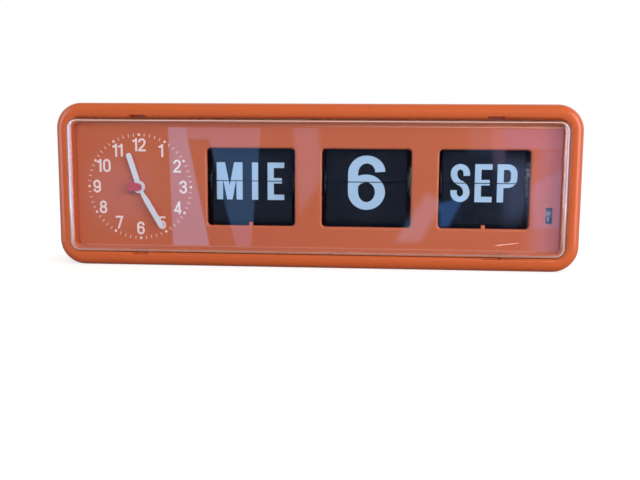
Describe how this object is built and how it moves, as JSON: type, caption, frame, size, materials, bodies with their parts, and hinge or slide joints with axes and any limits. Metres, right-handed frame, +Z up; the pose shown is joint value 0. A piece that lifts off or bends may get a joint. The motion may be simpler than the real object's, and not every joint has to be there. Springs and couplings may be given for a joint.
{
  "type": "flip clock",
  "caption": "Battery wall or shelf clock: round dial with three hands beside split-flap weekday, date and month leaves behind a clear cover.",
  "frame": {"origin": "centre of the bounding box at its bottom, which is the plane the case stands on", "axes": "+X to the right seen from the front, +Y to the back, +Z up; the clock faces -Y"},
  "size_m": [0.408, 0.086, 0.128],
  "materials": {
    "orange_abs": "glossy moulded ABS, warm orange",
    "clear_acrylic": "clear moulded acrylic, polished",
    "black_leaf": "thin black sheet with pale screen print",
    "black_plastic": "black moulded plastic",
    "pale_plastic": "off-white acetal",
    "white_lacquer": "white lacquered aluminium",
    "red_lacquer": "red lacquered aluminium",
    "steel": "bright steel",
    "spring_steel": "spring steel strip",
    "brass": "machined brass",
    "battery_jacket": "plain battery jacket",
    "copper_coil": "enamelled coil",
    "green_board": "green circuit board"
  },
  "bodies": {
    "root": {"case_shell": "orange_abs", "rear_cover": "orange_abs", "clear_cover": "clear_acrylic", "front_panel": "orange_abs", "battery_cell": "battery_jacket", "battery_contact_positive": "spring_steel", "battery_contact_negative": "spring_steel", "rear_cover_screws": "steel", "panel_screws": "steel", "frame_screws": "steel", "weekday_frame": "black_plastic", "date_frame": "black_plastic", "month_frame": "black_plastic", "weekday_axle": "steel", "date_axle": "steel", "month_axle": "steel", "weekday_detent_spring": "spring_steel", "date_detent_spring": "spring_steel", "month_detent_spring": "spring_steel", "weekday_leaf_catch": "spring_steel", "date_leaf_catch": "spring_steel", "month_leaf_catch": "spring_steel", "advance_spring": "spring_steel", "movement_plate": "black_plastic", "movement_case": "black_plastic", "dial_nut": "brass", "step_motor": "copper_coil", "circuit_board": "green_board"},
    "battery_door": {"battery_door": "orange_abs"},
    "weekday_drum": {"weekday_drum": "black_plastic", "weekday_leaf_pack": "black_leaf", "weekday_ratchet_wheel": "pale_plastic"},
    "weekday_flip_leaf": {"weekday_flip_leaf": "black_leaf"},
    "weekday_thumbwheel": {"weekday_thumbwheel": "orange_abs"},
    "date_drum": {"date_drum": "black_plastic", "date_leaf_pack": "black_leaf", "date_ratchet_wheel": "pale_plastic"},
    "date_flip_leaf": {"date_flip_leaf": "black_leaf"},
    "date_thumbwheel": {"date_thumbwheel": "orange_abs"},
    "month_drum": {"month_drum": "black_plastic", "month_leaf_pack": "black_leaf", "month_ratchet_wheel": "pale_plastic"},
    "month_flip_leaf": {"month_flip_leaf": "black_leaf"},
    "month_thumbwheel": {"month_thumbwheel": "orange_abs"},
    "minute_arbor": {"minute_arbor": "brass", "minute_hand": "white_lacquer"},
    "hour_wheel": {"hour_wheel": "brass", "hour_hand": "white_lacquer"},
    "motion_wheel": {"motion_wheel": "brass", "setting_knob": "black_plastic"},
    "third_wheel": {"third_wheel": "brass"},
    "seconds_arbor": {"seconds_arbor": "steel", "second_hand": "red_lacquer"},
    "day_wheel": {"day_wheel": "pale_plastic"},
    "advance_rod": {"advance_rod": "steel", "weekday_pawl": "spring_steel", "date_pawl": "spring_steel"},
    "month_rod": {"month_rod": "steel", "month_pawl": "spring_steel"},
    "year_wheel": {"year_wheel": "pale_plastic"}
  },
  "joints": [
    {"name": "battery_door", "type": "hinge", "parent": "root", "child": "battery_door", "pos_m": [-0.183, 0.042, 0.0352], "axis": [-1, 0, 0], "range_deg": [0, 100]},
    {"name": "weekday_drum", "type": "hinge", "parent": "root", "child": "weekday_drum", "pos_m": [-0.0508, 0.0025, 0.067], "axis": [1, 0, 0], "range_deg": [0, 17.14], "deforming": ["weekday_detent_spring", "weekday_leaf_catch"]},
    {"name": "weekday_flip_leaf", "type": "hinge", "parent": "weekday_drum", "child": "weekday_flip_leaf", "pos_m": [-0.0508, -0.01035, 0.06894], "axis": [1, 0, 0], "range_deg": [0, 162.86]},
    {"name": "weekday_thumbwheel", "type": "hinge", "parent": "root", "child": "weekday_thumbwheel", "pos_m": [-0.0146, 0.0245, 0.067], "axis": [1, 0, 0], "range_deg": [-36.74, 0]},
    {"name": "date_drum", "type": "hinge", "parent": "root", "child": "date_drum", "pos_m": [0.0404, 0.0025, 0.067], "axis": [1, 0, 0], "range_deg": [0, 11.61], "deforming": ["date_detent_spring", "date_leaf_catch"]},
    {"name": "date_flip_leaf", "type": "hinge", "parent": "date_drum", "child": "date_flip_leaf", "pos_m": [0.0404, -0.01043, 0.06832], "axis": [1, 0, 0], "range_deg": [0, 168.39]},
    {"name": "date_thumbwheel", "type": "hinge", "parent": "root", "child": "date_thumbwheel", "pos_m": [0.0766, 0.0245, 0.067], "axis": [1, 0, 0], "range_deg": [-24.89, 0]},
    {"name": "month_drum", "type": "hinge", "parent": "root", "child": "month_drum", "pos_m": [0.1316, 0.0025, 0.067], "axis": [1, 0, 0], "range_deg": [0, 15], "deforming": ["month_detent_spring", "month_leaf_catch"]},
    {"name": "month_flip_leaf", "type": "hinge", "parent": "month_drum", "child": "month_flip_leaf", "pos_m": [0.1316, -0.01039, 0.0687], "axis": [1, 0, 0], "range_deg": [0, 165]},
    {"name": "month_thumbwheel", "type": "hinge", "parent": "root", "child": "month_thumbwheel", "pos_m": [0.1678, 0.0245, 0.067], "axis": [1, 0, 0], "range_deg": [-32.14, 0]},
    {"name": "minute_hand", "type": "hinge", "parent": "root", "child": "minute_arbor", "pos_m": [-0.1399, -0.0165, 0.0621], "axis": [0, 1, 0], "continuous": true},
    {"name": "hour_hand", "type": "hinge", "parent": "root", "child": "hour_wheel", "pos_m": [-0.1399, -0.0165, 0.0621], "axis": [0, 1, 0], "continuous": true},
    {"name": "setting_knob", "type": "hinge", "parent": "root", "child": "motion_wheel", "pos_m": [-0.1399, -0.0165, 0.0501], "axis": [0, 1, 0], "continuous": true},
    {"name": "third_wheel", "type": "hinge", "parent": "root", "child": "third_wheel", "pos_m": [-0.14755, -0.0165, 0.07122], "axis": [0, 1, 0], "continuous": true},
    {"name": "second_hand", "type": "hinge", "parent": "root", "child": "seconds_arbor", "pos_m": [-0.1399, -0.0165, 0.0621], "axis": [0, 1, 0], "continuous": true},
    {"name": "day_wheel", "type": "hinge", "parent": "root", "child": "day_wheel", "pos_m": [-0.1129, -0.0165, 0.0621], "axis": [0, 1, 0], "continuous": true},
    {"name": "advance_rod", "type": "hinge", "parent": "root", "child": "advance_rod", "pos_m": [-0.0508, 0.006, 0.018], "axis": [-1, 0, 0], "range_deg": [0, 6], "stiffness_Nm_per_rad": 0.02, "deforming": ["advance_spring", "weekday_pawl", "date_pawl"]},
    {"name": "month_rod", "type": "hinge", "parent": "root", "child": "month_rod", "pos_m": [0.1316, 0.018, 0.018], "axis": [-1, 0, 0], "range_deg": [0, 6], "deforming": ["month_pawl"]},
    {"name": "year_wheel", "type": "hinge", "parent": "root", "child": "year_wheel", "pos_m": [0.1816, -0.003, 0.0428], "axis": [1, 0, 0], "continuous": true}
  ],
  "couplings": [
    {"joint": "weekday_flip_leaf", "follows": "weekday_drum", "ratio": 9.5},
    {"joint": "weekday_thumbwheel", "follows": "weekday_drum", "ratio": -2.1429},
    {"joint": "date_flip_leaf", "follows": "date_drum", "ratio": 14.5},
    {"joint": "date_thumbwheel", "follows": "date_drum", "ratio": -2.1429},
    {"joint": "month_flip_leaf", "follows": "month_drum", "ratio": 11},
    {"joint": "month_thumbwheel", "follows": "month_drum", "ratio": -2.1429},
    {"joint": "hour_hand", "follows": "minute_hand", "ratio": 0.083333},
    {"joint": "setting_knob", "follows": "minute_hand", "ratio": -0.33333},
    {"joint": "third_wheel", "follows": "minute_hand", "ratio": -8},
    {"joint": "second_hand", "follows": "minute_hand", "ratio": 60},
    {"joint": "day_wheel", "follows": "minute_hand", "ratio": -0.041667}
  ]
}
